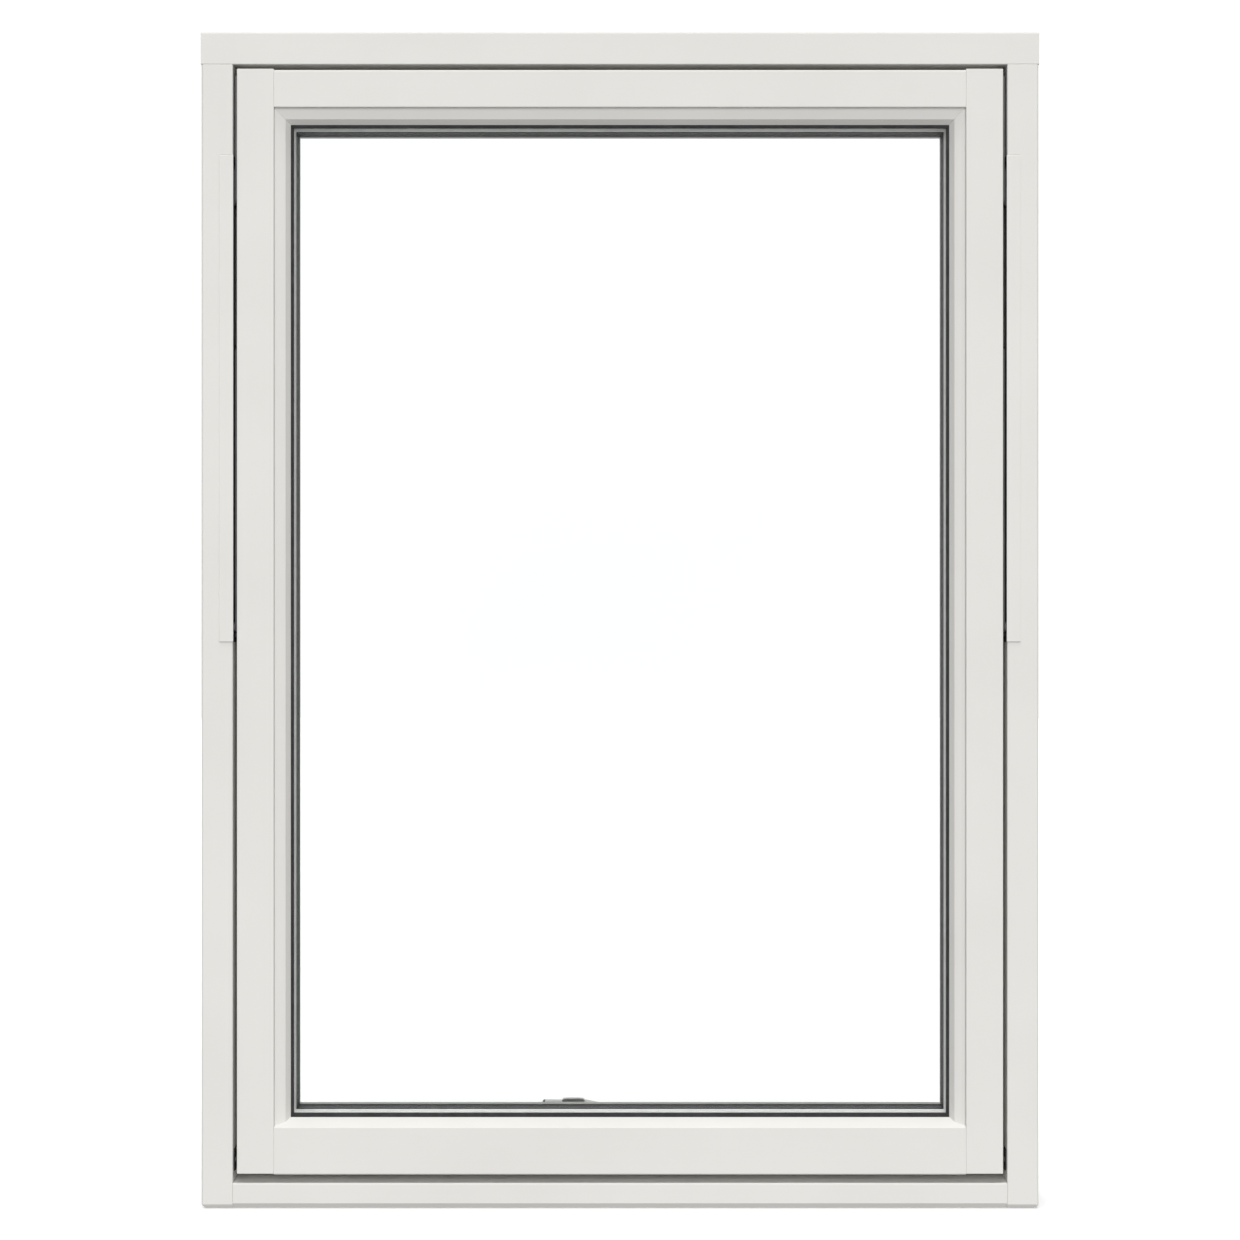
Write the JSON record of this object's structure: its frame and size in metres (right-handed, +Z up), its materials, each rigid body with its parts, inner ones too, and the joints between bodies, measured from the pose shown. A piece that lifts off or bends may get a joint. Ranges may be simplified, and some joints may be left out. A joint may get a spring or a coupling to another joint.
{
  "type": "window",
  "caption": "Outward-opening top-swing window: painted timber frame and sash, triple glazing, side arms on sliding shoes, lever handle with side bolts.",
  "frame": {"origin": "middle of the frame's underside, half way through its depth", "axes": "+Z up, +X to the right seen from outside, -Y to the outside and +Y to the room"},
  "size_m": [0.99, 0.1192, 1.39],
  "materials": {
    "painted_timber": "satin opaque paint",
    "seal_rubber": "matte",
    "window_glass": "clear",
    "zinc_steel": "bright zinc plate",
    "black_plastic": "matte",
    "black_steel": "black coated",
    "satin_metal": "satin",
    "pale_spacer": "mill finish",
    "nylon": "natural",
    "block_plastic": "moulded",
    "bare_timber": "untreated"
  },
  "bodies": {
    "frame": {"frame_head": "painted_timber", "frame_sill": "painted_timber", "frame_jamb_left": "painted_timber", "frame_jamb_right": "painted_timber", "frame_gasket": "seal_rubber", "guide_rail_left": "zinc_steel", "guide_rail_right": "zinc_steel", "rail_end_caps": "black_plastic", "rail_screws": "zinc_steel", "rail_cover_strip_left": "painted_timber", "rail_cover_strip_right": "painted_timber", "frame_pivot_left": "zinc_steel", "frame_pivot_right": "zinc_steel", "bolt_keep_left": "black_steel", "bolt_keep_right": "black_steel", "keep_screws": "zinc_steel", "frame_corner_screws": "zinc_steel", "fixing_sleeves": "zinc_steel"},
    "arm_left": {"hinge_arm_left": "zinc_steel"},
    "arm_right": {"hinge_arm_right": "zinc_steel"},
    "slider_left": {"slider_carrier_left": "zinc_steel", "slider_shoe_left": "nylon"},
    "slider_right": {"slider_carrier_right": "zinc_steel", "slider_shoe_right": "nylon"},
    "sash": {"sash_stile_left": "painted_timber", "sash_stile_right": "painted_timber", "sash_top_rail": "painted_timber", "sash_bottom_rail": "painted_timber", "corner_dowels": "bare_timber", "glazing_bead_left": "painted_timber", "glazing_bead_right": "painted_timber", "glazing_bead_top": "painted_timber", "glazing_bead_bottom": "painted_timber", "gasket_outer": "seal_rubber", "gasket_inner": "seal_rubber", "pane_outer": "window_glass", "pane_middle": "window_glass", "pane_inner": "window_glass", "spacer_outer": "pale_spacer", "spacer_inner": "black_plastic", "setting_blocks": "block_plastic", "hinge_plate_left": "zinc_steel", "hinge_plate_right": "zinc_steel", "sash_pins_left": "zinc_steel", "sash_pins_right": "zinc_steel", "plate_screws": "zinc_steel", "gear_case": "zinc_steel", "rod_cover": "zinc_steel", "handle_rose": "satin_metal", "rose_screws": "zinc_steel"},
    "rod_left": {"lock_rod_left": "zinc_steel", "lock_bolt_left": "black_steel"},
    "rod_right": {"lock_rod_right": "zinc_steel", "lock_bolt_right": "black_steel"},
    "handle": {"pinion": "zinc_steel", "spindle": "zinc_steel", "handle_lever": "satin_metal", "handle_end_cap": "black_plastic"},
    "button": {"handle_button": "satin_metal"}
  },
  "joints": [
    {"name": "sash_swing", "type": "hinge", "parent": "arm_left", "child": "sash", "pos_m": [-0.45445, -0.0426, 1.0114], "axis": [-1, 0, 0], "range_deg": [0, 150]},
    {"name": "arm_left_pivot", "type": "hinge", "parent": "frame", "child": "arm_left", "pos_m": [-0.45445, -0.0426, 0.687], "axis": [1, 0, 0], "range_deg": [0, 75]},
    {"name": "arm_right_pivot", "type": "hinge", "parent": "frame", "child": "arm_right", "pos_m": [0.45445, -0.0426, 0.687], "axis": [1, 0, 0], "range_deg": [0, 75]},
    {"name": "slider_left_pivot", "type": "hinge", "parent": "sash", "child": "slider_left", "pos_m": [-0.45445, -0.0426, 1.3358], "axis": [1, 0, 0], "range_deg": [0, 75]},
    {"name": "slider_right_pivot", "type": "hinge", "parent": "sash", "child": "slider_right", "pos_m": [0.45445, -0.0426, 1.3358], "axis": [1, 0, 0], "range_deg": [0, 75]},
    {"name": "handle_turn", "type": "hinge", "parent": "sash", "child": "handle", "pos_m": [0, 0.0345, 0.071], "axis": [0, 1, 0], "range_deg": [0, 90]},
    {"name": "bolt_left_slide", "type": "slide", "parent": "sash", "child": "rod_left", "axis": [-1, 0, 0], "range_m": [0, 0.01179]},
    {"name": "bolt_right_slide", "type": "slide", "parent": "sash", "child": "rod_right", "axis": [1, 0, 0], "range_m": [0, 0.01179]},
    {"name": "button_press", "type": "slide", "parent": "handle", "child": "button", "axis": [0, 0, -1], "range_m": [0, 0.0024], "stiffness_N_per_m": 600, "springref_m": -0.001}
  ],
  "couplings": [
    {"joint": "arm_left_pivot", "follows": "sash_swing", "ratio": 0.5},
    {"joint": "arm_right_pivot", "follows": "sash_swing", "ratio": 0.5},
    {"joint": "slider_left_pivot", "follows": "sash_swing", "ratio": 0.5},
    {"joint": "slider_right_pivot", "follows": "sash_swing", "ratio": 0.5},
    {"joint": "bolt_left_slide", "follows": "handle_turn", "m_per_rad": 0.0075},
    {"joint": "bolt_right_slide", "follows": "handle_turn", "m_per_rad": 0.0075}
  ]
}
